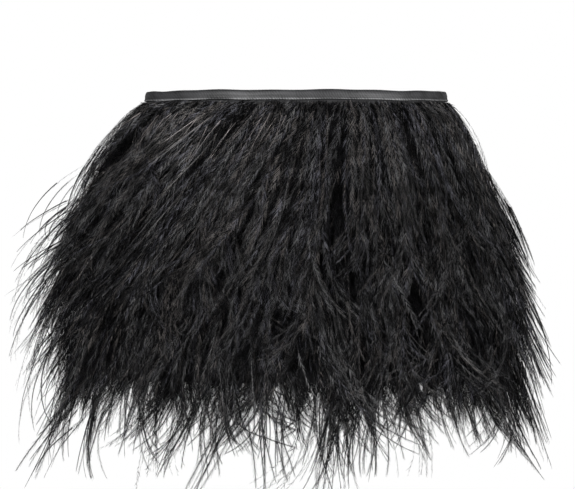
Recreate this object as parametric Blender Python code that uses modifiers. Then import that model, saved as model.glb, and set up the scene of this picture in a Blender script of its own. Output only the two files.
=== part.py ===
"""Ostrich-feather mini skirt: leather waistband, feathered tiers, foundation, lining and back zip.

Metres, +Z up, front towards -Y. The origin is the middle of the waist opening, on the plane of
the waistband's top edge. Every ring of cloth, leather or feather follows one flared ellipse.
"""
import math

import bmesh
import bpy
from mathutils import Matrix, Vector

# --- driving dimensions ---------------------------------------------------------------------
WAIST_HALF_WIDTH = 0.140  # outside of the leather band at its top edge
WAIST_HALF_DEPTH = 0.098
BAND_HEIGHT = 0.009
SKIRT_LENGTH = 0.268  # foundation skirt, from the band's top edge to its hem
FLARE_WIDTH = 0.0395  # how much wider each side is at the hem
FLARE_DEPTH = 0.032
LINING_LIFT = 0.012  # the lining's hem is this much higher than the foundation's

GAP = 0.0003  # clearance between neighbouring pieces
LEATHER_THICK = 0.0009
STAY_THICK = 0.0006
CLOTH_THICK = 0.0004
LINING_THICK = 0.00035
TAPE_THICK = 0.0008

TIERS = 7
TIER_TOP = 0.010  # below the band's top edge
TIER_STEP = 0.035
TIER_TAPE_HEIGHT = 0.007
FEATHER_LENGTH = 0.130
FEATHER_ROOT = 0.002  # thickness of a fringe where it leaves its tape
TIER_SPREAD = (2.7, 3.0, 3.3, 3.6, 3.7, 3.5, 3.0)  # how far each tier stands off, see spread()
BACK_SLIT = 0.005  # half the parting of the feathers over the zip

ZIP_GAP = 0.0010  # half the parting between the two zip tapes
ZIP_END = 0.190  # lower end of the zip, below the band's top edge
ZIP_TAPE_WIDTH = 0.0127
COIL_RADIUS = 0.0006
SLIDER_TOP = 0.0155
SLIDER_LENGTH = 0.008
PULL_LENGTH = 0.022
PULL_THICK = 0.0008
PULL_BAR = 0.00035  # half the height of the bar over the pull's window

LOOP_DROP = 0.062
LOOP_SPAN = 0.012
LOOP_WIDTH = 0.004
LOOP_THICK = 0.0006

STATION_STEP = math.radians(7.5)

# --- offsets from the foundation's outer face, positive outwards ------------------------------
STAY_IN = GAP
STAY_OUT = STAY_IN + STAY_THICK
LEATHER_IN = STAY_OUT + GAP
LEATHER_OUT = LEATHER_IN + LEATHER_THICK
LINING_OUT = -CLOTH_THICK - GAP
LINING_IN = LINING_OUT - LINING_THICK
INNER_LEATHER_OUT = LINING_IN - GAP
INNER_LEATHER_IN = INNER_LEATHER_OUT - LEATHER_THICK
TAPE_IN = GAP
TAPE_OUT = TAPE_IN + TAPE_THICK
FRINGE_IN = TAPE_OUT + GAP

MATERIALS = {
    "leather": ((0.018, 0.018, 0.020, 1.0), 0.42, 0.0),
    "feather": ((0.012, 0.011, 0.013, 1.0), 0.65, 0.0),
    "fringe_tape": ((0.020, 0.020, 0.022, 1.0), 0.85, 0.0),
    "foundation_cloth": ((0.022, 0.022, 0.025, 1.0), 0.80, 0.0),
    "lining_satin": ((0.025, 0.025, 0.030, 1.0), 0.35, 0.0),
    "zip_tape": ((0.020, 0.020, 0.022, 1.0), 0.80, 0.0),
    "zip_coil": ((0.016, 0.016, 0.018, 1.0), 0.45, 0.0),
    "black_metal": ((0.030, 0.030, 0.032, 1.0), 0.35, 0.9),
}


def clear_scene():
    """Remove everything a new file starts with."""
    for item in list(bpy.data.objects):
        bpy.data.objects.remove(item, do_unlink=True)


def make_material(name, slot):
    """One Principled material in the colour of its slot."""
    colour, roughness, metallic = MATERIALS[slot]
    material = bpy.data.materials.new(name)
    material.use_nodes = True
    shader = material.node_tree.nodes["Principled BSDF"]
    shader.inputs["Base Color"].default_value = colour
    shader.inputs["Roughness"].default_value = roughness
    shader.inputs["Metallic"].default_value = metallic
    material.diffuse_color = colour
    return material


def finish_object(part, slot, collection):
    """Give an object its material and its collection."""
    part.data.materials.clear()
    part.data.materials.append(make_material(part.name + "_" + slot, slot))
    for owner in list(part.users_collection):
        owner.objects.unlink(part)
    collection.objects.link(part)
    return part


# --- the flared ellipse -----------------------------------------------------------------------
def half_width(z):
    """Half the width of the foundation's outer face at height z."""
    return WAIST_HALF_WIDTH - LEATHER_OUT - FLARE_WIDTH * z / SKIRT_LENGTH


def half_depth(z):
    """Half the depth of the foundation's outer face at height z."""
    return WAIST_HALF_DEPTH - LEATHER_OUT - FLARE_DEPTH * z / SKIRT_LENGTH


def on_ring(angle, offset, z):
    """A point at an angle from the back middle (+Y), turning towards +X."""
    return Vector(((half_width(z) + offset) * math.sin(angle), (half_depth(z) + offset) * math.cos(angle), z))


def back_edge(x):
    """The angle where a ring meets the plane at x, beside the back middle."""
    return lambda offset, z: math.asin((x(z) if callable(x) else x) / (half_width(z) + offset))


def side_edge(y):
    """The angle where a ring meets the plane at y, at the side seam on +X."""
    return lambda offset, z: math.acos(y / (half_depth(z) + offset))


def turned(edge):
    """The mirror image, on the -X side, of an edge."""
    return lambda offset, z: 2 * math.pi - edge(offset, z)


def swept_ring(name, profile, start, end, slot, collection, rungs=()):
    """A closed profile of (offset, z) points swept round the ellipse from one edge to another.

    Rungs are pairs of profile points joined across both ends, where the ends aren't flat.
    """
    middle = sum(offset for offset, _ in profile) / len(profile), sum(z for _, z in profile) / len(profile)
    first, last = start(*middle), end(*middle)
    inner = [k * STATION_STEP for k in range(1, round(2 * math.pi / STATION_STEP))]
    inner = [angle for angle in inner if first + STATION_STEP / 3 < angle < last - STATION_STEP / 3]
    columns, rows = len(inner) + 2, len(profile) + 1
    mesh = bmesh.new()
    bmesh.ops.create_grid(mesh, x_segments=columns - 1, y_segments=rows - 1, size=1.0)
    for vertex in mesh.verts:
        column = round((vertex.co.x + 1) / 2 * (columns - 1))
        offset, z = profile[round((vertex.co.y + 1) / 2 * (rows - 1)) % len(profile)]
        angles = [start(offset, z), *inner, end(offset, z)]
        vertex.co = on_ring(angles[column], offset, z)
    bmesh.ops.remove_doubles(mesh, verts=mesh.verts, dist=1e-6)
    bmesh.ops.holes_fill(mesh, edges=[edge for edge in mesh.edges if edge.is_boundary], sides=0)
    for edge in (start, end):
        for pair in rungs:
            places = [on_ring(edge(*profile[index]), *profile[index]) for index in pair]
            nearest = [min(mesh.verts, key=lambda vertex: (vertex.co - place).length) for place in places]
            bmesh.ops.connect_verts(mesh, verts=nearest)
    bmesh.ops.recalc_face_normals(mesh, faces=mesh.faces)
    data = bpy.data.meshes.new(name)
    mesh.to_mesh(data)
    mesh.free()
    return finish_object(bpy.data.objects.new(name, data), slot, collection)


def strip(low_offset, high_offset, top, bottom):
    """The profile of a flat strip between two offsets and two heights."""
    return [(high_offset, top), (high_offset, bottom), (low_offset, bottom), (low_offset, top)]


# --- waistband --------------------------------------------------------------------------------
def panels(name, profile, slot, collection, back_x, rungs=()):
    """A ring cut as a front and two backs, which meet at the side seams."""
    back, side_back, side_front = back_edge(back_x), side_edge(GAP / 2), side_edge(-GAP / 2)
    swept_ring(name + "_front", profile, side_front, turned(side_front), slot, collection)
    swept_ring(name + "_back_right", profile, back, side_back, slot, collection, rungs)
    swept_ring(name + "_back_left", profile, turned(side_back), turned(back), slot, collection, rungs)


def build_waistband(collection):
    """Leather folded over the top edge, as an upside-down U, round a stay tape."""
    fold = [
        (LEATHER_OUT, 0.0),
        (LEATHER_OUT, -BAND_HEIGHT),
        (LEATHER_IN, -BAND_HEIGHT),
        (LEATHER_IN, -LEATHER_THICK),
        (INNER_LEATHER_OUT, -LEATHER_THICK),
        (INNER_LEATHER_OUT, -BAND_HEIGHT),
        (INNER_LEATHER_IN, -BAND_HEIGHT),
        (INNER_LEATHER_IN, 0.0),
    ]
    panels("waistband_leather", fold, "leather", collection, 0.0016)
    stay = strip(STAY_IN, STAY_OUT, -LEATHER_THICK - GAP, -BAND_HEIGHT)
    edge = back_edge(0.0020)
    swept_ring("waist_stay_tape", stay, edge, turned(edge), "fringe_tape", collection)


# --- foundation and lining --------------------------------------------------------------------
def back_opening(z):
    """Half the parting of the back edges: open along the zip, sewn together below it."""
    return ZIP_GAP if z > -ZIP_END - 0.001 else GAP / 2


def build_skirt(collection):
    """The foundation that carries the tiers, and the satin lining inside it."""
    top = -LEATHER_THICK - GAP
    levels = [top, -ZIP_END, -ZIP_END - 0.003, -SKIRT_LENGTH]
    cloth = [(0.0, z) for z in levels] + [(-CLOTH_THICK, z) for z in reversed(levels)]
    rungs = [(k, len(cloth) - 1 - k) for k in range(1, len(levels) - 1)]
    panels("foundation", cloth, "foundation_cloth", collection, back_opening, rungs)
    lining = strip(LINING_IN, LINING_OUT, top, -SKIRT_LENGTH + LINING_LIFT)
    panels("lining", lining, "lining_satin", collection, ZIP_GAP + ZIP_TAPE_WIDTH + GAP)


# --- feather tiers ----------------------------------------------------------------------------
def spread(tier, fall):
    """How far the outside of a tier stands off the foundation, at a fall below its root."""
    rate = TIER_SPREAD[min(tier, TIERS - 1)]
    return FRINGE_IN + FEATHER_ROOT + rate * 0.001 * (max(fall, 0.0) * 1000) ** 0.6


def fringe_profile(tier):
    """Section of one fringe: it lies on its tape, then over the tiers below, and thins at its tips."""
    top = -TIER_TOP - tier * TIER_STEP
    falls = [0.0, 0.008, 0.028, 0.060, FEATHER_LENGTH - TIER_STEP, FEATHER_LENGTH]
    outer = [(spread(tier, fall), top - fall) for fall in falls]
    inner = [(FRINGE_IN, top), (FRINGE_IN, top - TIER_STEP + 0.006)]
    for fall in (-0.001, *falls[1:-1]):
        inner.append((spread(tier + 1, fall) + GAP, top - TIER_STEP - fall))
    tip_in, tip_out = inner[-1], outer[-1]
    outer[-1] = (tip_in[0] + 0.35 * (tip_out[0] - tip_in[0]) + 0.002, tip_out[1])
    return outer + list(reversed(inner))


def build_tiers(collection):
    """Rows of feather fringe, each sewn to the foundation by its own tape."""
    edge = back_edge(BACK_SLIT)
    for tier in range(TIERS):
        top = -TIER_TOP - tier * TIER_STEP
        tape = strip(TAPE_IN, TAPE_OUT, top, top - TIER_TAPE_HEIGHT)
        swept_ring(f"tier_{tier + 1}_tape", tape, edge, turned(edge), "fringe_tape", collection)
        profile = fringe_profile(tier)
        swept_ring(f"tier_{tier + 1}_feathers", profile, edge, turned(edge), "feather", collection)


# --- zip --------------------------------------------------------------------------------------
def slope():
    """The angle of the back middle to the vertical."""
    return math.atan(FLARE_DEPTH / SKIRT_LENGTH)


def zip_frame(z):
    """Axes on the back middle at height z: X sideways, Y out of the skirt, Z up the slope."""
    place = Vector((0.0, half_depth(z), z))
    return Matrix.Translation(place) @ Matrix.Rotation(slope(), 4, "X")


def make_empty(name, matrix, collection, parent=None):
    """An empty that marks a joint's place and axes."""
    empty = bpy.data.objects.new(name, None)
    empty.empty_display_size = 0.005
    collection.objects.link(empty)
    empty.parent = parent
    empty.matrix_world = matrix
    return empty


def box_mesh(mesh, low, high):
    """Add a box between two corners to a bmesh."""
    low, high = Vector(low), Vector(high)
    size = Matrix.Diagonal((*(high - low), 1.0))
    bmesh.ops.create_cube(mesh, size=1.0, matrix=Matrix.Translation((low + high) / 2) @ size)


def box_part(name, low, high, slot, collection, matrix=None, round_by=0.0):
    """A box with rounded edges, in the axes of a matrix."""
    mesh = bmesh.new()
    box_mesh(mesh, low, high)
    data = bpy.data.meshes.new(name)
    mesh.to_mesh(data)
    mesh.free()
    part = bpy.data.objects.new(name, data)
    part.matrix_world = matrix or Matrix.Identity(4)
    if round_by:
        bevel = part.modifiers.new("Rounded edges", "BEVEL")
        bevel.width = round_by
        bevel.segments = 2
    return finish_object(part, slot, collection)


def wire_part(name, points, radius, slot, collection, matrix=None):
    """A round wire through points, with filled ends."""
    curve = bpy.data.curves.new(name, "CURVE")
    curve.dimensions = "3D"
    curve.bevel_depth = radius
    curve.bevel_resolution = 2
    curve.use_fill_caps = True
    spline = curve.splines.new("POLY")
    spline.points.add(len(points) - 1)
    for point, place in zip(spline.points, points):
        point.co = (*place, 1.0)
    part = bpy.data.objects.new(name, curve)
    part.matrix_world = matrix or Matrix.Identity(4)
    return finish_object(part, slot, collection)


def flat_part(name, outlines, thick, slot, collection):
    """A flat shape of an even thickness: its outline, then the outlines of its holes."""
    curve = bpy.data.curves.new(name, "CURVE")
    curve.dimensions = "2D"
    curve.fill_mode = "BOTH"
    curve.extrude = thick / 2
    for outline in outlines:
        spline = curve.splines.new("POLY")
        spline.use_cyclic_u = True
        spline.points.add(len(outline) - 1)
        for point, (x, y) in zip(spline.points, outline):
            point.co = (x, y, 0.0, 1.0)
    return finish_object(bpy.data.objects.new(name, curve), slot, collection)


def build_zip_tapes(collection):
    """Two tapes behind the foundation's back edges, with a coil, a top stop and a shared bottom stop."""
    top, bottom = -LEATHER_THICK - GAP, -ZIP_END
    tape = strip(LINING_IN, LINING_OUT, top, bottom)
    near, far = back_edge(ZIP_GAP), back_edge(ZIP_GAP + ZIP_TAPE_WIDTH)
    swept_ring("zip_tape_right", tape, near, far, "zip_tape", collection)
    swept_ring("zip_tape_left", tape, turned(far), turned(near), "zip_tape", collection)
    coil_depth = LINING_IN - GAP - COIL_RADIUS
    stop_height, stop_top = 0.0018, 0.0125
    for side, sign in (("right", 1), ("left", -1)):
        x = sign * (ZIP_GAP + COIL_RADIUS)
        upper, lower = -stop_top - stop_height - GAP, bottom + 0.005
        points = [(x, half_depth(z) + coil_depth, z) for z in (upper, lower)]
        wire_part(f"zip_coil_{side}", points, COIL_RADIUS, "zip_coil", collection)
        ends = sorted((sign * ZIP_GAP, sign * (ZIP_GAP + 0.0020)))
        low = (ends[0], coil_depth - 0.0007, -stop_height)
        high = (ends[1], coil_depth + COIL_RADIUS, 0.0)
        box_part(f"zip_top_stop_{side}", low, high, "black_metal", collection, zip_frame(-stop_top), 0.0002)
    low, high = (-0.0030, coil_depth - 0.0008, -0.0030), (0.0030, coil_depth + COIL_RADIUS, 0.0)
    place = zip_frame(bottom + 0.005 - GAP)
    box_part("zip_bottom_stop", low, high, "black_metal", collection, place, 0.0003)


def united(name, boxes, slot, collection, empty):
    """Boxes joined into one solid with Boolean unions, parented to a joint's empty."""
    pieces = []
    for index, (low, high) in enumerate(boxes):
        piece = box_part(name if index == 0 else f"{name}_join_{index}", low, high, slot, collection)
        pieces.append(piece)
    body = pieces[0]
    for piece in pieces[1:]:
        join = body.modifiers.new(piece.name, "BOOLEAN")
        join.operation = "UNION"
        join.solver = "EXACT"
        join.object = piece
    bpy.context.view_layer.update()
    solid = bpy.data.meshes.new_from_object(body.evaluated_get(bpy.context.evaluated_depsgraph_get()))
    body.modifiers.clear()
    body.data = solid
    for piece in pieces[1:]:
        bpy.data.objects.remove(piece, do_unlink=True)
    body.parent = empty
    body.matrix_parent_inverse = Matrix.Identity(4)
    return finish_object(body, slot, collection)


def build_slider(collection):
    """The slider, whose neck runs between the coils, and the pull tab hung in its bail."""
    slide = make_empty("slide_axis", zip_frame(-SLIDER_TOP), collection)
    coil_in = LINING_IN - 2 * GAP - 2 * COIL_RADIUS
    plate, neck, edge, flange = 0.0008, ZIP_GAP - 0.0004, 0.0034, 0.0006
    flange_top = LINING_IN - GAP
    face_in, face_half = 0.0004, 0.0027
    face_out = face_in + plate
    swing = math.hypot(PULL_BAR, PULL_THICK / 2) + GAP
    bar_out, bar_level = face_out + swing, -0.0026
    bail_in = bar_out + swing
    bail_out, bail_half, bail_wall = bail_in + plate, 0.0005, 0.0006
    upper, lower = bar_level + swing, bar_level - 0.0038
    boxes = [
        ((-edge, coil_in - plate, -SLIDER_LENGTH), (edge, coil_in, 0.0)),
        ((-edge, coil_in - plate / 2, -SLIDER_LENGTH), (-edge + flange, flange_top, 0.0)),
        ((edge - flange, coil_in - plate / 2, -SLIDER_LENGTH), (edge, flange_top, 0.0)),
        ((-neck, coil_in - plate / 2, -SLIDER_LENGTH * 0.8), (neck, face_in + plate / 2, -0.0008)),
        ((-face_half, face_in, -SLIDER_LENGTH * 0.9), (face_half, face_out, -0.0006)),
        ((-bail_half, face_out - plate / 2, upper), (bail_half, bail_out, upper + bail_wall)),
        ((-bail_half, face_out - plate / 2, lower - bail_wall), (bail_half, bail_out, lower)),
        ((-bail_half, bail_in, lower - bail_wall), (bail_half, bail_out, upper + bail_wall)),
    ]
    united("zip_slider", boxes, "black_metal", collection, slide)
    hinge_matrix = slide.matrix_world @ Matrix.Translation((0.0, bar_out, bar_level))
    hinge = make_empty("pull_axis", hinge_matrix, collection, slide)
    window = math.hypot(lower - bail_wall - bar_level, swing + plate) + GAP
    build_pull(collection, hinge, window, bail_half + GAP)


def build_pull(collection, hinge, window, window_half):
    """A flat tab with a rounded end; the bar over its window turns inside the slider's bail."""
    wall, half = 0.0008, 0.0022
    neck = window_half + wall
    end = -PULL_LENGTH + half
    turn = [math.pi * k / 12 for k in range(13)]
    outline = [(-neck, PULL_BAR), (neck, PULL_BAR), (neck, -window), (half, -window - wall)]
    outline += [(half * math.cos(a), end - half * math.sin(a)) for a in turn]
    outline += [(-half, -window - wall), (-neck, -window)]
    hole = [(-window_half, -window), (window_half, -window), (window_half, -PULL_BAR), (-window_half, -PULL_BAR)]
    part = flat_part("zip_pull", [outline, hole], PULL_THICK, "black_metal", collection)
    part.parent = hinge
    part.matrix_parent_inverse = Matrix.Identity(4)
    part.rotation_euler = (math.radians(90), 0.0, 0.0)


# --- hook and eye -----------------------------------------------------------------------------
def build_hook_and_eye(collection):
    """A wire hook on the right end of the band, closed through a wire eye on the left end."""
    wire, level = 0.00045, -0.0058
    place = Matrix.Translation((0.0, half_depth(level), level))
    shaft = INNER_LEATHER_IN - GAP - wire - 0.0002
    pitch = 2 * wire + GAP
    bar, back = shaft - pitch, shaft - 2 * pitch
    bend = [math.pi * k / 8 for k in range(9)]
    turn = [(-pitch * math.sin(a) - 0.0004, bar + pitch * math.cos(a), 0.0) for a in bend]
    hook = [(0.0085, shaft - 0.0004, 0.0), (0.0040, shaft, 0.0), *turn, (0.0026, back, 0.0)]
    wire_part("waistband_hook", hook, wire, "black_metal", collection, place)
    rise, reach = 0.0016, 0.0008
    corner = [math.pi / 2 * k / 4 for k in range(5)]
    loop = [(-0.0085, shaft - 0.0004, rise)]
    loop += [(-0.0045, shaft - 0.0002, rise)]
    loop += [(reach - 0.0008 + 0.0008 * math.sin(a), bar, rise - 0.0008 + 0.0008 * math.cos(a)) for a in corner]
    loop += [(x, y, -z) for x, y, z in reversed(loop)]
    wire_part("waistband_eye", loop, wire, "black_metal", collection, place)


# --- hanger loops -----------------------------------------------------------------------------
def rounded_outline(half, low, high, radius):
    """Points of a rectangle with rounded lower corners, as (y, z)."""
    quarter = [math.pi / 2 * k / 4 for k in range(5)]
    right = [(half - radius + radius * math.cos(a), low + radius - radius * math.sin(a)) for a in quarter]
    left = [(-y, z) for y, z in reversed(right)]
    return [(-half, high), (half, high), *right, *left]


def build_hanger_loops(collection):
    """Narrow ribbon loops on the side seams, hinged where they are tacked inside the band."""
    tack = -0.0070
    for side, sign in (("right", 1), ("left", -1)):
        x = sign * (half_width(tack) + INNER_LEATHER_IN - 0.0010 - LOOP_WIDTH / 2)
        hinge = make_empty(f"loop_axis_{side}", Matrix.Translation((x, 0.0, tack)), collection)
        outer = rounded_outline(LOOP_SPAN / 2, -LOOP_DROP, LOOP_THICK / 2, 0.0030)
        inner = rounded_outline(
            LOOP_SPAN / 2 - LOOP_THICK, -LOOP_DROP + LOOP_THICK, -LOOP_THICK / 2, 0.0030 - LOOP_THICK
        )
        part = flat_part(f"hanger_loop_{side}", [outer, inner], LOOP_WIDTH, "lining_satin", collection)
        part.parent = hinge
        part.matrix_parent_inverse = Matrix.Identity(4)
        part.rotation_euler = (math.radians(90), 0.0, math.radians(90))


def build():
    """The whole skirt, in one collection."""
    clear_scene()
    collection = bpy.data.collections.new("feather_skirt")
    bpy.context.scene.collection.children.link(collection)
    build_waistband(collection)
    build_skirt(collection)
    build_tiers(collection)
    build_zip_tapes(collection)
    build_slider(collection)
    build_hook_and_eye(collection)
    build_hanger_loops(collection)
    bpy.context.view_layer.update()


build()
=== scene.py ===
import math

import bmesh
import bpy
import numpy as np
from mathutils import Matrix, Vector


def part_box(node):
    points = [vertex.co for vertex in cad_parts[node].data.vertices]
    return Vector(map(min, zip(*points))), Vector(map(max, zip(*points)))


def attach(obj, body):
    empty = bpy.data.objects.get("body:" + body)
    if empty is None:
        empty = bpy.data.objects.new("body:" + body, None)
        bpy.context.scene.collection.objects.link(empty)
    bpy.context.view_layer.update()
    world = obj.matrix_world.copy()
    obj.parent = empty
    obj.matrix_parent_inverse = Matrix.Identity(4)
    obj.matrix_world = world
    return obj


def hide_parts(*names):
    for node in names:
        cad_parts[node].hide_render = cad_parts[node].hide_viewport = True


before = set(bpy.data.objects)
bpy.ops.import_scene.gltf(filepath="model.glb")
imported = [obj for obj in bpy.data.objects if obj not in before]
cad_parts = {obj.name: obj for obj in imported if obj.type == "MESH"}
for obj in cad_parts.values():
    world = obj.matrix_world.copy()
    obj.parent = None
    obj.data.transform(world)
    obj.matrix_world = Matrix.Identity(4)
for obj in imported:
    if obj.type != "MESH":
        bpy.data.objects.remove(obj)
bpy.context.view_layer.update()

SEED = 7

# --- the skirt's own geometry, read from the frame ---------------------------------------------
TIERS = sum(name.endswith("_feathers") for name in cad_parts)
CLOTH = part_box("foundation_front")
TOP_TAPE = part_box("tier_1_tape")
ZIP_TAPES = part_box("zip_tape_right")
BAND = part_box("waistband_leather_front")
TAPE_OUT = 0.0011  # the outer face of a fringe tape, off the foundation's outer face
HEM = CLOTH[0].z
ROOTS = [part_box(f"tier_{tier + 1}_tape") for tier in range(TIERS)]  # the tapes that the barbs grow from
# how much the foundation's half width and half depth grow for each metre down
WIDTH_SLOPE = (CLOTH[1].x - (TOP_TAPE[1].x - TAPE_OUT)) / (TOP_TAPE[0].z - HEM)
DEPTH_SLOPE = (-CLOTH[0].y - (-TOP_TAPE[0].y - TAPE_OUT)) / (TOP_TAPE[0].z - HEM)


def half_width(z):
    """Half the width of the foundation's outer face at height z."""
    return CLOTH[1].x + WIDTH_SLOPE * (HEM - z)


def half_depth(z):
    """Half the depth of the foundation's outer face at height z."""
    return -CLOTH[0].y + DEPTH_SLOPE * (HEM - z)


def on_ring(angle, offset, z):
    """Points at an angle from the back middle (+Y), turning towards +X, off the foundation."""
    x = (half_width(z) + offset) * np.sin(angle)
    y = (half_depth(z) + offset) * np.cos(angle)
    return np.stack(np.broadcast_arrays(x, y, z), axis=-1)


def outward(angle, z):
    """The level direction out of the skirt."""
    across = half_depth(z) * np.sin(angle)
    along = half_width(z) * np.cos(angle)
    size = np.hypot(across, along)
    return np.stack(np.broadcast_arrays(across / size, along / size, 0.0 * z), axis=-1)


def folds(angle, z):
    """Soft upright folds of the foundation, none at the waist and none beside the zip."""
    depth = 0.0016 * np.clip(z / HEM, 0.0, 1.0) ** 1.5
    from_back = np.minimum(np.abs(angle), np.abs(2 * math.pi - angle))
    still = 1.0 - np.exp(-((from_back / 0.30) ** 2))
    return depth * still * (np.sin(9 * angle + 1.3) + 0.5 * np.sin(17 * angle + 0.4) - 0.6)


# --- materials -------------------------------------------------------------------------------
WAVE_SPACING = 0.314  # a wave texture's spacing in metres, at a scale of 1
LEATHER_CREASE = 0.0021  # from one line of the leather's grain to the next


def new_material(name, colour, roughness):
    """A material with its Principled shader set, and that shader."""
    material = bpy.data.materials.new(name)
    material.use_nodes = True
    shader = material.node_tree.nodes["Principled BSDF"]
    shader.inputs["Base Color"].default_value = (*colour, 1.0)
    shader.inputs["Roughness"].default_value = roughness
    return material, shader


def feather_material(name, colour, gloss):
    """Dyed ostrich barbs: barbules of uneven tone, the brightest painted glints, in locks painted lighter and
    darker as shade for their slightly different depth.
    """
    material, shader = new_material(name, colour, 0.48)
    shader.inputs["Specular IOR Level"].default_value = gloss
    links = material.node_tree.links
    # the fine noise gives the barbules their uneven tone and paints the brightest as glints; the broad noise
    # is painted shade, darker for locks lying deeper
    share = material.node_tree.nodes.new("ShaderNodeMath")
    share.operation = "MULTIPLY_ADD"
    share.inputs[1].default_value = 0.7
    links.new(noise_at(material, 640.0, 1.0), share.inputs[0])
    links.new(noise_at(material, 70.0, 2.0), share.inputs[2])
    dark, light = tuple(0.25 * c for c in colour), tuple(3.0 * c for c in colour)
    tinted(material, shader, share.outputs["Value"], 0.74, 0.97, dark, light)
    return material


def quill_material(name, colour):
    """Bare barb shafts: smooth, glossy and a little uneven in tone."""
    material, shader = new_material(name, colour, 0.36)
    dark, light = tuple(0.35 * c for c in colour), tuple(1.4 * c for c in colour)
    tinted(material, shader, noise_at(material, 110.0, 2.0), 0.38, 0.62, dark, light)
    return material


def add_bump(material, shader, height, strength, distance):
    """Relief from a height output."""
    bump = material.node_tree.nodes.new("ShaderNodeBump")
    bump.inputs["Strength"].default_value = strength
    bump.inputs["Distance"].default_value = distance
    material.node_tree.links.new(height, bump.inputs["Height"])
    material.node_tree.links.new(bump.outputs["Normal"], shader.inputs["Normal"])


def tinted(material, shader, factor, low, high, dark, light):
    """A base colour that runs between two tones with a factor."""
    ramp = material.node_tree.nodes.new("ShaderNodeValToRGB")
    first, last = ramp.color_ramp.elements
    first.position, last.position = low, high
    first.color, last.color = (*dark, 1.0), (*light, 1.0)
    material.node_tree.links.new(factor, ramp.inputs["Fac"])
    material.node_tree.links.new(ramp.outputs["Color"], shader.inputs["Base Color"])


def noise_at(material, scale, detail):
    """Noise in the piece's own coordinates."""
    nodes = material.node_tree.nodes
    place, noise = nodes.new("ShaderNodeTexCoord"), nodes.new("ShaderNodeTexNoise")
    noise.inputs["Scale"].default_value = scale
    noise.inputs["Detail"].default_value = detail
    material.node_tree.links.new(place.outputs["Object"], noise.inputs["Vector"])
    return noise.outputs["Fac"]


def leather_material():
    """Smooth charcoal lambskin: a fine slanting grain, with painted shade over the fold at the top and a
    painted highlight at the raised lower edge.
    """
    material, shader = new_material("leather_black", (0.03, 0.03, 0.031), 0.50)
    shader.inputs["Specular IOR Level"].default_value = 0.45
    nodes, links = material.node_tree.nodes, material.node_tree.links
    place, mapping = nodes.new("ShaderNodeTexCoord"), nodes.new("ShaderNodeMapping")
    mapping.inputs["Rotation"].default_value = (0.0, math.radians(33), 0.0)
    links.new(place.outputs["Object"], mapping.inputs["Vector"])
    wave = nodes.new("ShaderNodeTexWave")
    wave.inputs["Scale"].default_value = WAVE_SPACING / LEATHER_CREASE
    wave.inputs["Distortion"].default_value = 6.0
    wave.inputs["Detail"].default_value = 2.0
    links.new(mapping.outputs["Vector"], wave.inputs["Vector"])
    grain = nodes.new("ShaderNodeMath")
    grain.operation = "MULTIPLY_ADD"
    grain.inputs[1].default_value = 0.30
    links.new(wave.outputs["Fac"], grain.inputs[0])
    links.new(noise_at(material, 60.0, 4.0), grain.inputs[2])
    # the colour by height is painted light: near-black painted shade over the rounded fold at the top, and a
    # pale painted highlight where the raised lower edge would catch the light
    split, rise = nodes.new("ShaderNodeSeparateXYZ"), nodes.new("ShaderNodeValToRGB")
    links.new(place.outputs["Object"], split.inputs["Vector"])
    height = nodes.new("ShaderNodeMapRange")
    height.inputs["From Min"].default_value = -0.0105
    height.inputs["From Max"].default_value = 0.0015
    links.new(split.outputs["Z"], height.inputs["Value"])
    links.new(height.outputs["Result"], rise.inputs["Fac"])
    ramp = rise.color_ramp
    ramp.elements[0].position, ramp.elements[0].color = 0.17, (0.14, 0.14, 0.143, 1.0)
    ramp.elements[1].position, ramp.elements[1].color = 0.90, (0.009, 0.009, 0.010, 1.0)
    ramp.elements.new(0.27).color = (0.020, 0.020, 0.021, 1.0)
    ramp.elements.new(0.62).color = (0.028, 0.028, 0.030, 1.0)
    shade, mix = nodes.new("ShaderNodeMapRange"), nodes.new("ShaderNodeMix")
    shade.inputs["From Min"].default_value, shade.inputs["From Max"].default_value = 0.40, 0.85
    shade.inputs["To Min"].default_value, shade.inputs["To Max"].default_value = 0.25, 1.6
    links.new(grain.outputs["Value"], shade.inputs["Value"])
    mix.data_type, mix.blend_type = "RGBA", "MULTIPLY"
    mix.inputs["Factor"].default_value = 1.0
    colours = [socket for socket in mix.inputs if socket.type == "RGBA"]
    links.new(rise.outputs["Color"], colours[0])
    links.new(shade.outputs["Result"], colours[1])
    result = next(socket for socket in mix.outputs if socket.type == "RGBA")
    links.new(result, shader.inputs["Base Color"])
    add_bump(material, shader, grain.outputs["Value"], 0.6, 0.00020)
    return material


def woven_material(name, colour, roughness, thread, slant=0.0, sheen=0.0):
    """Cloth of crossing threads, with a slight unevenness in their dye."""
    material, shader = new_material(name, colour, roughness)
    shader.inputs["Sheen Weight"].default_value = sheen
    nodes, links = material.node_tree.nodes, material.node_tree.links
    place, mapping = nodes.new("ShaderNodeTexCoord"), nodes.new("ShaderNodeMapping")
    mapping.inputs["Rotation"].default_value = (0.0, slant, 0.0)
    links.new(place.outputs["Object"], mapping.inputs["Vector"])
    threads = nodes.new("ShaderNodeMath")
    threads.operation = "MAXIMUM"
    for index, way in enumerate(("X", "Z")):
        wave = nodes.new("ShaderNodeTexWave")
        wave.bands_direction = way
        wave.inputs["Scale"].default_value = WAVE_SPACING / thread
        wave.inputs["Distortion"].default_value = 0.8
        links.new(mapping.outputs["Vector"], wave.inputs["Vector"])
        links.new(wave.outputs["Fac"], threads.inputs[index])
    mix = nodes.new("ShaderNodeMath")
    mix.operation = "MULTIPLY_ADD"
    mix.inputs[1].default_value = 0.5
    links.new(threads.outputs["Value"], mix.inputs[0])
    links.new(noise_at(material, 90.0, 3.0), mix.inputs[2])
    dark, light = tuple(0.6 * c for c in colour), tuple(1.5 * c for c in colour)
    tinted(material, shader, mix.outputs["Value"], 0.45, 1.0, dark, light)
    add_bump(material, shader, threads.outputs["Value"], 0.5, 0.00012)
    return material


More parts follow.
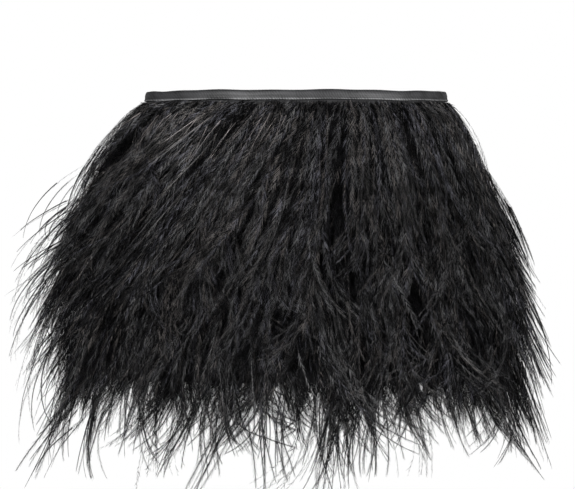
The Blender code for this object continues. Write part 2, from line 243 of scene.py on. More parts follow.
def satin_material():
    """Black satin: glossy, with very fine twill lines and soft cloudy tone."""
    material = woven_material("satin_black", (0.013, 0.013, 0.015), 0.33, 0.00022, 0.45)
    shader = material.node_tree.nodes["Principled BSDF"]
    shader.inputs["Anisotropic"].default_value = 0.5
    return material


def metal_material():
    """Blackened metal, rubbed a little brighter in patches."""
    material, shader = new_material("metal_blackened", (0.04, 0.04, 0.042), 0.34)
    shader.inputs["Metallic"].default_value = 1.0
    patches = noise_at(material, 700.0, 4.0)
    tinted(material, shader, patches, 0.40, 0.68, (0.03, 0.03, 0.032), (0.16, 0.16, 0.17))
    add_bump(material, shader, patches, 0.2, 0.00005)
    return material


# --- feathers --------------------------------------------------------------------------------
UNDER_STRANDS = 1450  # the mass of each tier
OVER_STRANDS = 950  # the wide, well-lit barbs that lie on top of it
BARBULES = 112  # on each strand, on alternate sides
UNDER_BARBULE = 0.0062  # how long the barbules are on the mass of a tier
OVER_BARBULE = 0.0088  # and on the barbs that lie on top
CLUMP_SIZE = 7  # how many strands follow one guide
STRAND_LENGTH = 0.133
TIPS_FROM = 54  # the point of a strand where the thick dark shaft of its tip begins
HIGHLIGHT_QUILLS = 26  # about how many pale quills of painted highlight there are, glossy shafts catching the light, all on the top tier's front, on the -X side
HIGHLIGHT_FROM = -0.130  # the x beyond which no root has a painted-highlight quill
HIGHLIGHT_SPAN = slice(12, 44)  # the points of a strand that a painted-highlight quill runs along
TAPE_END = 0.005  # where the fringe tapes end, beside the back middle
ROOTS_END = 0.0055  # and where the barbs on them begin
REACH = (0.2650, 0.2115, 0.3650)  # the farthest wisps to the sides, to front and back, and down
ZIP_ROOM = (0.0085, 0.0010)  # half the parting over the zip, close to the cloth and at the surface
# the places of build_feathers' materials: the under one, a near-black dull copy of the dyes as painted shade,
# three dyes, and the two quills, a dark one and a pale one of painted highlight
UNDER, FIRST_DYE, DARK_QUILL, HIGHLIGHT_QUILL = 0, 1, 4, 5
# one value for each tier, from the top one down
TIER_LIFT = (2.15, 2.45, 2.75, 2.6, 2.25, 2.0, 1.9)  # how steeply the barbs stand out from their tape
TIER_SHARE = (1.0, 1.0, 1.0, 1.0, 1.0, 0.9, 0.85)  # the lowest tiers are sewn more thinly
TIER_COMB = (1.10, 0.86, 0.58, 0.38, 0.26, 0.20, 0.18)  # how far a tier follows comb()
TIER_STRAYS = (0.0, 0.15, 0.75, 1.2, 1.3, 1.15, 0.5)  # how readily a tier's side barbs stand away
UNDER_LENGTH = (0.92, 0.92, 0.92, 0.90, 0.82, 0.70, 0.54)  # the under layer's share of STRAND_LENGTH
OVER_LENGTH = (1.0, 1.0, 1.0, 0.97, 0.88, 0.84, 0.80)  # the upper layer's share
SIDE_TRIM = (0.0, 0.0, 0.0, 0.0, 0.06, 0.20, 0.26)  # how much shorter a tier's barbs are at the sides


def comb(angle):
    """How far the barbs lean sideways, in radians: towards -X across the front, most at its -X side."""
    across = np.sin(angle)
    front = 0.5 - 0.5 * np.cos(angle)
    return front * (0.36 - 0.42 * across)


def along_strand(t):
    """How far along a strand its points lie: they are closer together towards the tip."""
    return t * (1.32 - 0.32 * t)


def grow(angle, offset, z, length, lift, side, bend, wave, curl, steps):
    """Strands followed from root to tip: their points and the level direction out at each."""
    points, outs = np.empty((len(angle), steps + 1, 3)), np.empty((len(angle), steps + 1, 3))
    fallen = np.zeros(len(angle))
    size, beat, phase = wave
    for k in range(steps + 1):
        s = along_strand(k / steps)
        step = length * (along_strand((k + 1) / steps) - s)
        points[:, k] = on_ring(angle, offset, z)
        outs[:, k] = outward(angle, z)
        rise = 0.6 * lift * (fallen * 1000 + 2.0) ** -0.4 + curl * s * s
        lean = side + bend[0] * (s - 0.3) + bend[1] * s**3 + size * s * np.sin(6.3 * beat * s + phase)
        sideways = np.tan(np.clip(lean, -1.25, 1.25))
        whole = np.sqrt(rise**2 + sideways**2 + 1.0)
        radius = np.hypot(
            (half_width(z) + offset) * np.cos(angle), (half_depth(z) + offset) * np.sin(angle)
        )
        offset = offset + step * rise / whole
        z = z - step / whole
        fallen = fallen + step / whole
        angle = angle + step * sideways / whole / radius
    return points, outs


def strand_paths(tier, count, raised, reach, random):
    """The strands of one layer of a tier, gathered in clumps that follow one guide each."""
    clumps = count // CLUMP_SIZE
    clump = np.arange(count) % clumps
    low, high = ROOTS[tier]
    tidy = 0.55 + 0.09 * tier
    middle = (np.arange(clumps) + random.uniform(0.0, 1.0, clumps)) / clumps * 2 * math.pi
    shared = {
        "length": (0.11 + 0.034 * tier) * random.standard_normal(clumps),
        "lift": 0.22 * random.standard_normal(clumps),
        "side": 0.24 * tidy * random.standard_normal(clumps),
        "bend": 0.50 * tidy * random.standard_normal(clumps),
        "hook": 0.55 * random.standard_normal(clumps),
        "curl": 0.16 * random.standard_normal(clumps),
        "phase": 6.3 * random.random(clumps),
    }
    crossing = random.random(clumps) < (0.03 if tier > 4 else 0.06)
    shared["side"] = np.where(crossing, 0.65 * random.standard_normal(clumps), shared["side"])
    shared["lift"] = np.where(crossing, 0.12, shared["lift"])
    outlying = (random.random(clumps) < 0.10 - 0.08 * np.sin(middle)) & (np.abs(np.cos(middle)) < 0.6)
    shared["lift"] = np.where(outlying, 0.42, shared["lift"])

    def followed(own, size):
        """The paths of the guides, or of the strands with their own differences, and which stray."""
        pick = clump if own else np.arange(clumps)
        total = len(pick)
        angle = (middle[pick] + size * 0.028 * random.standard_normal(total)) % (2 * math.pi)
        end = ROOTS_END / half_width(low.z)
        angle = np.clip(angle, end, 2 * math.pi - end)
        root = random.random(total)
        # the top tier's barbs grow from about its tape's upper edge, the others' from all over theirs
        z = low.z + (high.z - low.z) * root if tier else high.z + 0.0008 - 0.0035 * root
        offset = TAPE_OUT + random.uniform(0.0003, 0.0025, total) + folds(angle, z)
        vary = shared["length"][pick] + size * 0.13 * random.standard_normal(total)
        length = reach * STRAND_LENGTH * np.exp(vary) * (1.0 - SIDE_TRIM[tier] * np.sin(angle) ** 2)
        uneven = np.exp(shared["lift"][pick] + size * 0.20 * random.standard_normal(total))
        lift = raised * TIER_LIFT[tier] * (1.0 - 0.14 * np.sin(angle)) * uneven
        share = 0.02 + (0.18 - 0.09 * np.sin(angle)) * np.sin(angle) ** 4
        stray = random.random(total) < size * TIER_STRAYS[tier] * share
        lift = np.where(stray, lift * (1.85 - 0.35 * np.sin(angle)), lift)
        side = comb(angle) * TIER_COMB[tier] + shared["side"][pick]
        side = side + size * 0.14 * random.standard_normal(total)
        bend = shared["bend"][pick] + size * 0.36 * random.standard_normal(total)
        wave = (
            0.10 + 0.12 * random.random(total),
            0.8 + random.random(total),
            shared["phase"][pick] + size * random.standard_normal(total),
        )
        curl = shared["curl"][pick] + size * 0.18 * random.standard_normal(total)
        curl = np.where(stray, curl - 0.75, curl)
        hook = shared["hook"][pick] + size * 0.45 * random.standard_normal(total)
        return *grow(angle, offset, z, length, lift, side, (bend, hook), wave, curl, BARBULES), stray

    guide = followed(False, 0.0)[0]
    points, outs, stray = followed(True, 1.0)
    s = along_strand(np.linspace(0.0, 1.0, BARBULES + 1))
    pull = np.interp(s, [0.0, 0.4, 0.75, 1.0], [0.0, 0.38, 0.64, 0.68])[None, :, None]
    pull = pull * np.where(stray, 0.12, 1.0)[:, None, None]
    return parted(kept_in(points + pull * (guide[clump] - points))), outs, np.where(stray, 0.55, 1.0)


def parted(points):
    """Strands at the back kept to their own side of the zip, with room for its pull to swing."""
    x, y, z = points[..., 0], points[..., 1], points[..., 2]
    side = np.where(points[:, :1, 0] < 0.0, -1.0, 1.0)
    above_end = np.clip((z - ZIP_TAPES[0].z) / 0.020 + 1.75, 0.0, 1.0)
    room = above_end * np.interp(y - half_depth(z), (0.014, 0.032), ZIP_ROOM)
    past = side * x - room
    apart = room + 0.25 * past + 0.75 * np.sqrt(past**2 + (0.004 * above_end) ** 2)
    return np.stack([np.where(y > 0.0, side * apart, x), y, z], axis=-1)


def kept_in(points):
    """Strands shortened where they would reach past the skirt's farthest wisps."""
    shrink = np.ones(len(points))
    root = points[:, :1]
    for axis, reach in enumerate(REACH):
        far = np.abs(points[..., axis]).max(axis=1)
        start = np.abs(root[:, 0, axis])
        scale = (reach - start) / np.maximum(far - start, 1e-6)
        shrink = np.where(far > reach, np.minimum(shrink, scale), shrink)
    return root + (points - root) * shrink[:, None, None]


def unit(vectors):
    """Vectors scaled to length one."""
    return vectors / np.maximum(np.linalg.norm(vectors, axis=-1, keepdims=True), 1e-9)


def strand_mesh(points, outs, fullness, reach, loose, random):
    """Vertices, triangles and bake coordinates of strands, with fine barbules down both sides.

    Fullness is each strand's own, reach is a barbule's length, and loose is how unevenly they stand.
    """
    count, steps = points.shape[0], points.shape[1] - 1
    ahead = unit(points[:, 1:] - points[:, :-1])
    face = unit(outs[:, :-1] - ahead * np.sum(outs[:, :-1] * ahead, axis=-1, keepdims=True))
    across = np.cross(ahead, face)
    s = along_strand(np.linspace(0.0, 1.0, steps))
    own = random.standard_normal((3, count, 1))
    twist = loose * (0.7 * own[0] + 1.2 * own[1] * s + 0.5 * np.sin(9.0 * s + 3.0 * own[2]))
    flat = across * np.cos(twist)[..., None] + face * np.sin(twist)[..., None]
    normal = np.cross(flat, ahead)
    width = np.interp(s, [0.0, 0.06, 0.2, 0.55, 0.82, 0.96, 1.0], [0.55, 0.85, 1.0, 0.98, 0.80, 0.64, 0.3])
    width = width * fullness[:, None] * (0.7 + 0.5 * random.random((count, 1)))
    side = np.where(np.arange(steps) % 2 == 0, 1.0, -1.0)[None, :, None]
    length = reach * width * (1.0 + loose * random.uniform(-0.4, 0.4, (count, steps)))
    splay = np.interp(s, [0.0, 0.6, 0.85, 1.0], [0.40, 0.36, 0.28, 0.22])
    splay = splay + 0.13 * loose * random.standard_normal((count, steps))
    droop = 0.30 + 0.55 * loose * random.standard_normal((count, steps))
    aim = ahead * np.cos(splay)[..., None] + side * flat * np.sin(splay)[..., None]
    aim -= normal * (droop * np.sin(splay))[..., None]
    tips = points[:, 1:] + aim * length[..., None]
    vertices = np.concatenate([points, tips], axis=1).reshape(-1, 3)
    k = np.arange(steps)
    first, second = np.where(k % 2 == 0, k, k + 1), np.where(k % 2 == 0, k + 1, k)
    faces = np.stack([first, second, steps + 1 + k], axis=1)
    per = 2 * steps + 1
    faces = (faces[None] + per * np.arange(count)[:, None, None]).reshape(-1, 3)
    rows = (np.arange(count)[:, None] + 0.5) / count
    along = np.concatenate([np.linspace(0.0, 1.0, steps + 1), (k + 1.4) / (steps + 1)])
    shift = np.concatenate([np.zeros(steps + 1), np.full(steps, 0.4 / count)])
    chart = np.stack(np.broadcast_arrays(along[None], rows + shift), axis=-1).reshape(-1, 2)
    return vertices, faces, chart


def shaft_mesh(points, outs, half, every, turn=0.0):
    """Slim tapering shafts along strands, as ribbons that lie flat on the skirt or are turned from it."""
    points, outs = points[:, ::every], outs[:, ::every]
    count, rings = points.shape[0], points.shape[1]
    ahead = unit(np.gradient(points, axis=1))
    across = unit(np.cross(ahead, outs))
    across = across * np.cos(turn) + np.cross(across, ahead) * np.sin(turn)
    reach = (half * np.linspace(1.0, 0.3, rings))[None, :, None] * across
    vertices = np.stack([points - reach, points + reach], axis=2).reshape(-1, 3)
    k = 2 * np.arange(rings - 1)
    faces = np.concatenate([np.stack([k, k + 1, k + 2], axis=1), np.stack([k + 1, k + 3, k + 2], axis=1)])
    faces = (faces[None] + 2 * rings * np.arange(count)[:, None, None]).reshape(-1, 3)
    along = np.repeat(np.linspace(0.0, 1.0, rings), 2)[None]
    rows = (np.arange(count)[:, None] + 0.5) / count
    chart = np.stack(np.broadcast_arrays(along, rows + 0.3 / count * (np.arange(2 * rings) % 2)), axis=-1)
    return vertices, faces, chart.reshape(-1, 2)


def joined(parts):
    """One mesh's vertices, triangles and bake coordinates from several."""
    start, vertices, faces, chart = 0, [], [], []
    for part in parts:
        vertices.append(part[0])
        faces.append(part[1] + start)
        chart.append(part[2])
        start += len(part[0])
    return np.concatenate(vertices), np.concatenate(faces), np.concatenate(chart)


def mesh_from_arrays(name, vertices, faces, chart, smooth):
    """A triangle mesh from arrays, with its bake coordinates."""
    mesh = bpy.data.meshes.new(name)
    mesh.vertices.add(len(vertices))
    mesh.vertices.foreach_set("co", vertices.astype(np.float32).ravel())
    mesh.loops.add(faces.size)
    mesh.loops.foreach_set("vertex_index", faces.astype(np.int32).ravel())
    mesh.polygons.add(len(faces))
    mesh.polygons.foreach_set("loop_start", np.arange(0, faces.size, 3, dtype=np.int32))
    mesh.polygons.foreach_set("loop_total", np.full(len(faces), 3, dtype=np.int32))
    mesh.update(calc_edges=True)
    mesh.polygons.foreach_set("use_smooth", np.full(len(faces), smooth))
    layer = mesh.uv_layers.new(name="OFBake")
    layer.data.foreach_set("uv", chart[faces.ravel()].astype(np.float32).ravel())
    return mesh


def build_tier(tier, materials):
    """One row of feather fringe, as a front and a back piece."""
    random = np.random.default_rng(SEED + tier)
    under_count, over_count = (int(TIER_SHARE[tier] * count) for count in (UNDER_STRANDS, OVER_STRANDS))
    under, under_outs, under_full = strand_paths(tier, under_count, 0.85, UNDER_LENGTH[tier], random)
    over, over_outs, over_full = strand_paths(tier, over_count, 1.08, OVER_LENGTH[tier], random)
    tint = random.choice(3, size=len(over), p=[0.46, 0.30, 0.24])
    for name, sign in (("front", -1), ("back", 1)):
        low, top = sign * under[:, 0, 1] > 0.0, sign * over[:, 0, 1] > 0.0
        some, ways = over[top], over_outs[top]
        parts = [
            strand_mesh(under[low], under_outs[low], under_full[low], UNDER_BARBULE, 1.0, random),
            strand_mesh(some, ways, over_full[top], OVER_BARBULE, 0.42, random),
        ]
        # the barbules are darker towards the tips, most of all on the lowest tiers
        dark_share = np.tile(np.linspace(0.45, 0.9 if tier > 4 else 0.5, BARBULES), int(top.sum()))
        shade = random.random(len(dark_share)) < dark_share
        dyes = np.where(shade, UNDER, FIRST_DYE + np.repeat(tint[top], BARBULES))
        slots = [np.full(len(parts[0][1]), UNDER), dyes]
        bare = random.random(len(some)) < 0.48
        parts.append(shaft_mesh(some[bare] + 0.0004 * ways[bare], ways[bare], half=0.00014, every=4))
        slots.append(np.full(len(parts[-1][1]), DARK_QUILL))
        turn = math.pi * random.random((len(some), 1, 1))
        parts.append(shaft_mesh(some[:, TIPS_FROM:], ways[:, TIPS_FROM:], half=0.00058, every=3, turn=turn))
        slots.append(np.full(len(parts[-1][1]), UNDER))
        # pale raised shafts only on the lit side of the top tier's front: painted highlights of glossy quills
        # catching the key light
        if tier == 0 and name == "front":
            left = (some[:, 0, 0] < 0.0) & (some[:, 0, 0] > HIGHLIGHT_FROM)
            pale = np.flatnonzero(left)[:: max(1, int(left.sum()) // HIGHLIGHT_QUILLS)]
            raised = some[pale, HIGHLIGHT_SPAN] + 0.004 * ways[pale, HIGHLIGHT_SPAN]
            parts.append(shaft_mesh(raised, ways[pale, HIGHLIGHT_SPAN], half=0.00016, every=4))
            slots.append(np.full(len(parts[-1][1]), HIGHLIGHT_QUILL))
        mesh = mesh_from_arrays(f"tier_{tier + 1}_flues_{name}", *joined(parts), False)
        mesh.polygons.foreach_set("material_index", np.concatenate(slots).astype(np.int32))
        for material in materials:
            mesh.materials.append(material)
        add_piece(mesh, "skirt", "feather", f"tier_{tier + 1}_feathers")


def add_piece(mesh, body, slot, *nodes):
    """An object for a mesh, riding on a body and standing in for CAD nodes."""
    piece = bpy.data.objects.new(mesh.name, mesh)
    bpy.context.scene.collection.objects.link(piece)
    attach(piece, body)
    if nodes:
        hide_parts(*nodes)
    return piece


def build_feathers():
    """All the tiers."""
    materials = [
        # the under layer is the same feather material made near-black and nearly without gloss: painted shade
        # deep in each tier, beneath the well-lit barbs
        feather_material("feather_under_painted_shade", (0.002, 0.002, 0.0023), 0.06),
        feather_material("feather_black", (0.036, 0.036, 0.037), 0.30),
        feather_material("feather_brown_black", (0.041, 0.037, 0.035), 0.28),
        feather_material("feather_blue_black", (0.035, 0.035, 0.042), 0.32),
        quill_material("quill_dark", (0.036, 0.034, 0.035)),
        # pale shafts of painted highlight: glossy quills catching the light
        quill_material("quill_painted_highlight", (0.24, 0.215, 0.21)),
    ]
    for tier in range(TIERS):
        build_tier(tier, materials)


# --- band, cloth and tapes -------------------------------------------------------------------
BAND_HEIGHT = BAND[1].z - BAND[0].z
SIDE_GAP = 0.00015  # half the gap between two panels at a side seam
SEAM_GAP = 0.00002  # and at the foundation's sewn back seam
TAPE_IN = 0.0003  # the inner face of a fringe tape, off the foundation's outer face


def back_edge(x):
    """The angle where a ring meets the plane at x, beside the back middle."""
    return lambda offset, z: np.arcsin(x / (half_width(z) + offset))


def side_edge(y):
    """The angle where a ring meets the plane at y, at the side seam on +X."""
    return lambda offset, z: np.arccos(y / (half_depth(z) + offset))


def turned(edge):
    """The mirror image, on the -X side, of an edge."""
    return lambda offset, z: 2 * math.pi - edge(offset, z)


def solid_mesh(name, vertices, faces, cut_ends=False):
    """A smooth closed mesh that faces outward, with its many-sided ends cut into triangles if asked."""
    mesh = bpy.data.meshes.new(name)
    mesh.from_pydata(vertices.reshape(-1, 3).tolist(), [], faces)
    whole = bmesh.new()
    whole.from_mesh(mesh)
    if cut_ends:
        bmesh.ops.triangulate(whole, faces=[face for face in whole.faces if len(face.verts) > 4])
    bmesh.ops.recalc_face_normals(whole, faces=whole.faces)
    whole.to_mesh(mesh)
    whole.free()
    mesh.shade_smooth()
    return mesh


def swept(name, outline, start, stop, columns, ripple=None, sway=None):
    """A closed outline of (offset, z) carried round the skirt between two edges, as a solid mesh."""
    offset, z = np.array(outline, dtype=float).T
    first, last = start(offset, z), stop(offset, z)
    t = np.linspace(0.0, 1.0, columns)[:, None]
    angle = first[None] + t * (last - first)[None]
    height = z[None] + 0.0 * angle
    moved = offset[None] + (ripple(angle, height) if ripple else 0.0)
    if sway:
        height = height + sway(angle)
    rings = on_ring(angle, moved, height)
    across = len(outline)
    ring = across * np.arange(columns - 1)[:, None] + np.arange(across)[None]
    other = across * np.arange(columns - 1)[:, None] + (np.arange(across)[None] + 1) % across
    faces = np.stack([ring, other, other + across, ring + across], axis=-1).reshape(-1, 4)
    ends = [list(range(across))[::-1], [across * (columns - 1) + k for k in range(across)]]
    return solid_mesh(name, rings, faces.tolist() + ends, cut_ends=True)


def rounded(outline, times=2):
    """A closed outline with its corners cut, again and again."""
    for _ in range(times):
        cut = []
        for (a, b), (c, d) in zip(outline, outline[1:] + outline[:1]):
            cut += [(0.75 * a + 0.25 * c, 0.75 * b + 0.25 * d), (0.25 * a + 0.75 * c, 0.25 * b + 0.75 * d)]
        outline = cut
    return outline


def centre_seam(offset, z):
    """The foundation's edge at the back: it lies beside the zip, and is sewn shut below it."""
    open_share = np.clip((z - ZIP_TAPES[0].z) / 0.004, 0.0, 1.0)
    return back_edge(SEAM_GAP + (0.001 - SEAM_GAP) * open_share)(offset, z)


def panel_edges(back):
    """The front, back right and back left panels' names with their two edges, from the back right one."""
    side_back, side_front = side_edge(SIDE_GAP), side_edge(-SIDE_GAP)
    return (
        ("front", side_front, turned(side_front), 2),
        ("back_right", back, side_back, 1),
        ("back_left", turned(side_back), turned(back), 1),
    )


def puckers(angle, z):
    """Slight unevenness of the folded leather: long waves and small puckers at its stitched edge."""
    low = np.clip(-z / BAND_HEIGHT, 0.0, 1.0)
    long = 0.00016 * np.sin(13 * angle + 0.7) + 0.00012 * np.sin(29 * angle + 2.1)
    small = 0.00005 * np.sin(310 * angle + 2 * np.sin(41 * angle)) + 0.00004 * np.sin(173 * angle)
    return long * low + small * low * low


def sway(angle):
    """How the soft band rises and dips round the waist, and stands up at the wearer's left hip."""
    hip = 0.0012 * np.exp(-(((angle - 0.51 * math.pi) / 0.10) ** 2))
    still = 1.0 - np.exp(-((np.minimum(angle, 2 * math.pi - angle) / 0.30) ** 2))
    return hip + still * (0.00035 * np.sin(7 * angle + 0.5) + 0.00022 * np.sin(17 * angle + 2.0))


def build_band(leather, tape):
    """The waistband: leather folded over the top edge, with its raised lower edge."""
    b = -BAND_HEIGHT
    outline = [
        (0.0013, b + 0.0003), (0.0018, b), (0.0024, b), (0.0027, b + 0.0005), (0.00265, b + 0.0010),
        (0.0023, b + 0.0014), (0.0023, b + 0.0026), (0.0026, 0.5 * b), (0.0025, 0.35 * b), (0.0021, -0.0012),
        (0.0014, -0.0002), (0.0003, 0.0001), (-0.0008, 0.0001), (-0.0019, -0.0003), (-0.0024, -0.0014),
        (-0.0024, 0.5 * b), (-0.0024, b + 0.0003), (-0.0019, b), (-0.0014, b + 0.0002), (-0.00135, 0.5 * b),
        (-0.00135, -0.0018), (-0.0006, -0.0011), (0.0006, -0.0011), (0.0012, -0.0018), (0.0012, 0.5 * b),
    ]
    outline = rounded(outline)
    for name, start, stop, size in panel_edges(back_edge(0.0004)):
        mesh = swept(f"waistband_leather_fold_{name}", outline, start, stop, 420 * size, puckers, sway)
        mesh.materials.append(leather)
        piece = add_piece(mesh, "skirt", "leather", f"waistband_leather_{name}")
    stay = rounded([(0.0009, -0.0013), (0.0009, b), (0.0003, b), (0.0003, -0.0013)], 1)
    mesh = swept("waist_stay", stay, back_edge(0.0020), turned(back_edge(0.0020)), 500)
    mesh.materials.append(tape)
    add_piece(mesh, "skirt", "fringe_tape", "waist_stay_tape")


def layered(outer, thick, top, bottom, rows):
    """The closed outline of a hanging layer of cloth, with a rounded fold at its lower edge."""
    levels = np.linspace(top, bottom, rows)
    down = [(outer, z) for z in levels]
    fold = [(outer - thick * 0.25, bottom - thick * 0.4), (outer - thick * 0.75, bottom - thick * 0.4)]
    return down + fold + [(outer - thick, z) for z in levels[::-1]]


def ease(angle, z):
    """The lining's own fullness: it follows the foundation, and falls away inward in small pleats."""
    depth = 0.0030 * np.clip(z / HEM, 0.0, 1.0)
    from_back = np.minimum(np.abs(angle), np.abs(2 * math.pi - angle))
    still = 1.0 - np.exp(-((from_back / 0.30) ** 4))
    return folds(angle, z) - depth * still * (0.5 + 0.5 * np.sin(31 * angle + 1.5 * np.sin(5 * angle)))


def build_cloth(cloth, satin):
    """The foundation's and the lining's panels, hanging in soft folds."""
    top = CLOTH[1].z
    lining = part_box("lining_front")
    for name, start, stop, size in panel_edges(centre_seam):
        outline = layered(0.0, 0.0004, top, HEM, 68)
        mesh = swept(f"foundation_panel_{name}", outline, start, stop, 170 * size, folds)
        mesh.materials.append(cloth)
        piece = add_piece(mesh, "skirt", "foundation_cloth", f"foundation_{name}")
    for name, start, stop, size in panel_edges(back_edge(ZIP_TAPES[1].x + 0.0003)):
        outline = layered(-0.0007, 0.00035, top, lining[0].z, 65)
        mesh = swept(f"lining_panel_{name}", outline, start, stop, 230 * size, ease)
        mesh.materials.append(satin)
        piece = add_piece(mesh, "skirt", "lining_satin", f"lining_{name}")


def build_tapes(tape, ribbon):
    """The fringe tapes that carry the tiers, and the hanger loops' ribbons."""
    for tier, (low, high) in enumerate(ROOTS):
        edge = back_edge(TAPE_END)
        outline = [(TAPE_OUT, z) for z in np.linspace(high.z, low.z, 6)]
        outline += [(TAPE_IN, z) for z in np.linspace(low.z, high.z, 6)]
        mesh = swept(f"tier_{tier + 1}_fringe_tape", outline, edge, turned(edge), 480, folds)
        mesh.materials.append(tape)
        add_piece(mesh, "skirt", "fringe_tape", f"tier_{tier + 1}_tape")
    for side in ("left", "right"):
        low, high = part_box(f"hanger_loop_{side}")
        mesh = ribbon_loop(f"hanger_ribbon_{side}", low, high)
        mesh.materials.append(ribbon)
        add_piece(mesh, f"hanger_loop_{side}", "lining_satin", f"hanger_loop_{side}")


def ribbon_loop(name, low, high):
    """A loop of flat ribbon that hangs in a long narrow U from its tack, closed across the top."""
    thick = 0.0006
    half, wide = (high.y - low.y - thick) / 2, (high.x - low.x) / 2
    middle, top, bottom = (low + high) / 2, high.z - thick / 2, low.z + thick / 2
    turn = np.linspace(0.0, math.pi / 2, 9)
    radius = 0.003 - thick / 2
    sides = np.linspace(top, bottom + radius, 22)
    path = [(half, z) for z in sides]
    path += [(half - radius + radius * math.cos(a), bottom + radius - radius * math.sin(a)) for a in turn[1:]]
    path += [(-y, z) for y, z in reversed(path)]
    path += [(y, top) for y in np.linspace(-half, half, 7)[1:-1]]
    path = np.array(path)
    ahead = np.roll(path, -1, axis=0) - np.roll(path, 1, axis=0)
    ahead = ahead / np.linalg.norm(ahead, axis=1, keepdims=True)
    out = np.stack([ahead[:, 1], -ahead[:, 0]], axis=1)
    section = rounded([(-wide, -thick / 2), (wide, -thick / 2), (wide, thick / 2), (-wide, thick / 2)], 2)
    section = np.array(section)
    count, across = len(path), len(section)
    x = middle.x + np.tile(section[:, 0], (count, 1))
    y = middle.y + path[:, :1] + out[:, :1] * section[None, :, 1]
    z = path[:, 1:] + out[:, 1:] * section[None, :, 1]
    ring = across * np.arange(count)[:, None] + np.arange(across)[None]
    side = across * np.arange(count)[:, None] + (np.arange(across)[None] + 1) % across
    step = across * ((np.arange(count)[:, None] + 1) % count)
    faces = np.stack([ring, side, step + side % across, step + ring % across], axis=-1).reshape(-1, 4)
    return solid_mesh(name, np.stack([x, y, z], axis=-1), faces.tolist())


# --- zip and fastenings ----------------------------------------------------------------------
WIRE = 0.00019  # the radius of a spiral's wire
SPIRAL_PITCH = 0.0008  # from one turn to the next
SPIRAL_OVERLAP = 0.0007  # how far each spiral reaches past the middle


def tube(name, points, radius, sides):
    """A round wire along points, with filled ends."""
    points = np.asarray(points)
    ahead = unit(np.gradient(points, axis=0))
    across = unit(np.cross(ahead, np.array([0.31, 0.92, 0.24])))
    up = np.cross(across, ahead)
    turn = np.linspace(0.0, 2 * math.pi, sides, endpoint=False)[None, :, None]
    rings = points[:, None] + radius * (across[:, None] * np.cos(turn) + up[:, None] * np.sin(turn))
    ring = sides * np.arange(len(points) - 1)[:, None] + np.arange(sides)[None]
    other = sides * np.arange(len(points) - 1)[:, None] + (np.arange(sides)[None] + 1) % sides
    faces = np.stack([ring, other, other + sides, ring + sides], axis=-1).reshape(-1, 4)
    ends = [list(range(sides))[::-1], [sides * (len(points) - 1) + k for k in range(sides)]]
    return solid_mesh(name, rings, faces.tolist() + ends)


def build_zip(tape, nylon):
    """Woven zip tapes and interlocking spirals; the slider, pull and stops are the frame's own."""
    for side, sign in (("left", -1), ("right", 1)):
        top, bottom = ZIP_TAPES[1].z, ZIP_TAPES[0].z
        near, far = back_edge(0.0008), back_edge(ZIP_TAPES[1].x)
        outline = layered(-0.0007, 0.00035, top, bottom + 0.0002, 50)
        edges = (near, far) if sign > 0 else (turned(far), turned(near))
        mesh = swept(f"zip_woven_tape_{side}", outline, *edges, 22)
        mesh.materials.append(tape)
        piece = add_piece(mesh, "skirt", "zip_tape", f"zip_tape_{side}")
        low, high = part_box(f"zip_coil_{side}")
        radius = (high.x - low.x) / 2
        turns = int((high.z - low.z) / SPIRAL_PITCH)
        t = np.linspace(0.0, 1.0, turns * 12)
        turn = 2 * math.pi * turns * t + (math.pi if sign > 0 else 0.0)
        outer = max(abs(low.x), abs(high.x)) - WIRE
        x = sign * ((outer - SPIRAL_OVERLAP) / 2 - (outer + SPIRAL_OVERLAP) / 2 * np.cos(turn))
        y = low.y + radius + (high.y - low.y - 2 * radius) * t
        y = y + (radius - WIRE) * np.sin(turn)
        z = high.z - 0.0004 - (high.z - low.z - 0.0008) * t
        mesh = tube(f"zip_spiral_{side}", np.stack([x, y, z], axis=1), WIRE, 6)
        mesh.materials.append(nylon)
        add_piece(mesh, "skirt", "zip_coil", f"zip_coil_{side}")


def finish_metal(metal):
    """The CAD's own metal pieces, blackened: the slider, pull and stops also get worn edges."""
    for name in ("zip_slider", "zip_pull", "zip_bottom_stop", "zip_top_stop_left", "zip_top_stop_right"):
        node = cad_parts[name]
        bevel = node.modifiers.new("worn edges", "BEVEL")
        bevel.width, bevel.segments, bevel.limit_method = 0.00012, 2, "ANGLE"
        node.data.materials.clear()
        node.data.materials.append(metal)
    for name in ("waistband_hook", "waistband_eye"):
        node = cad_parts[name]
        node.data.materials.clear()
        node.data.materials.append(metal)


# --- studio ----------------------------------------------------------------------------------
CAMERA_DISTANCE = 5.0
FRAME_WIDTH = 0.5365  # how much of the object's middle plane the camera's frame spans
CAMERA_AIM = (-0.0080, -0.1420)  # the x and z of the point that it looks at, level and from the front
SENSOR = 36.0
FLOOR_RADIUS, FLOOR_HEIGHT = 2.8, -0.60


def add_area_light(name, place, target, size, power):
    """A soft square light aimed at a point."""
    data = bpy.data.lights.new(name, "AREA")
    data.shape = "SQUARE"
    data.size = size
    data.energy = power
    light = bpy.data.objects.new(name, data)
    light.location = place
    light.rotation_euler = (Vector(target) - Vector(place)).to_track_quat("-Z", "Y").to_euler()
    bpy.context.scene.collection.objects.link(light)


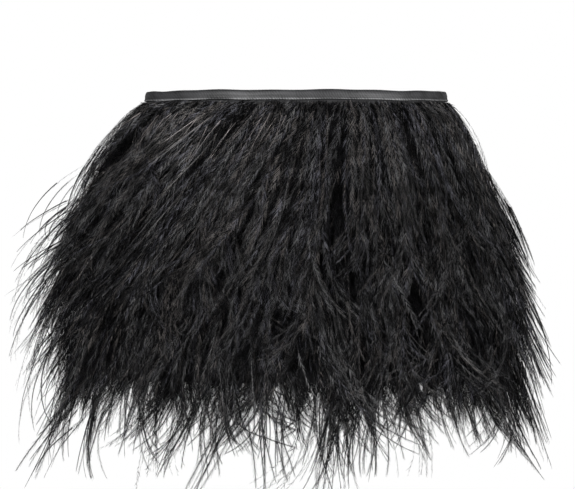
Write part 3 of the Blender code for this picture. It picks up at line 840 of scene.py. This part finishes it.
def add_floor():
    """A pale disc well below the skirt, which fades into the white surround at its rim."""
    material, shader = new_material("pale_floor", (0.86, 0.86, 0.86), 0.9)
    nodes, links = material.node_tree.nodes, material.node_tree.links
    place, length, fade = (
        nodes.new("ShaderNodeTexCoord"), nodes.new("ShaderNodeVectorMath"), nodes.new("ShaderNodeMapRange")
    )
    length.operation = "LENGTH"
    fade.interpolation_type = "SMOOTHSTEP"
    fade.inputs["From Min"].default_value, fade.inputs["From Max"].default_value = 0.5, 2.6
    glow, mix = nodes.new("ShaderNodeEmission"), nodes.new("ShaderNodeMixShader")
    links.new(place.outputs["Object"], length.inputs[0])
    links.new(length.outputs["Value"], fade.inputs["Value"])
    links.new(fade.outputs["Result"], mix.inputs["Fac"])
    links.new(shader.outputs["BSDF"], mix.inputs[1])
    links.new(glow.outputs["Emission"], mix.inputs[2])
    links.new(mix.outputs["Shader"], nodes["Material Output"].inputs["Surface"])
    disc = bmesh.new()
    bmesh.ops.create_circle(disc, cap_ends=True, segments=96, radius=FLOOR_RADIUS)
    mesh = bpy.data.meshes.new("floor")
    disc.to_mesh(mesh)
    disc.free()
    mesh.materials.append(material)
    floor = bpy.data.objects.new("floor", mesh)
    floor.location = (0.0, 0.0, FLOOR_HEIGHT)
    bpy.context.scene.collection.objects.link(floor)


def build_studio():
    """A pale floor well below the skirt, soft lights, a white surround and the camera."""
    scene = bpy.context.scene
    scene.view_settings.view_transform = "Standard"
    world = bpy.data.worlds.new("white_surround")
    scene.world = world
    world.use_nodes = True
    nodes, links = world.node_tree.nodes, world.node_tree.links
    background = nodes["Background"]
    background.inputs["Color"].default_value = (1.0, 1.0, 1.0, 1.0)
    path = nodes.new("ShaderNodeLightPath")
    strength = nodes.new("ShaderNodeMapRange")
    strength.inputs["To Min"].default_value = 0.16
    strength.inputs["To Max"].default_value = 1.0
    links.new(path.outputs["Is Camera Ray"], strength.inputs["Value"])
    links.new(strength.outputs["Result"], background.inputs["Strength"])
    add_floor()
    middle = (0.0, 0.0, -0.17)
    add_area_light("key", (-1.4, -2.6, 0.95), middle, 0.7, 79.0)
    add_area_light("fill", (2.2, -2.2, 0.5), middle, 1.0, 72.0)
    add_area_light("back", (0.3, 2.4, 1.6), middle, 1.5, 40.0)
    data = bpy.data.cameras.new("camera")
    data.sensor_width = SENSOR
    data.lens = SENSOR * CAMERA_DISTANCE / FRAME_WIDTH
    data.clip_end = 50.0
    camera = bpy.data.objects.new("camera", data)
    camera.location = (CAMERA_AIM[0], -CAMERA_DISTANCE, CAMERA_AIM[1])
    camera.rotation_euler = (math.radians(90), 0.0, 0.0)
    scene.collection.objects.link(camera)
    scene.camera = camera


FRINGE_TAPE = woven_material("fringe_tape_black", (0.010, 0.010, 0.011), 0.75, 0.0006, 0.0, 0.1)
build_feathers()
build_band(leather_material(), FRINGE_TAPE)
FOUNDATION_CLOTH = woven_material("foundation_cloth_black", (0.009, 0.009, 0.010), 0.8, 0.0005, 0.0, 0.15)
SATIN = satin_material()
build_cloth(FOUNDATION_CLOTH, SATIN)
build_tapes(FRINGE_TAPE, SATIN)
build_zip(
    woven_material("zip_tape_black", (0.014, 0.014, 0.015), 0.7, 0.0005, 0.8),
    woven_material("coil_nylon_black", (0.02, 0.02, 0.022), 0.35, 0.0011),
)
finish_metal(metal_material())
build_studio()
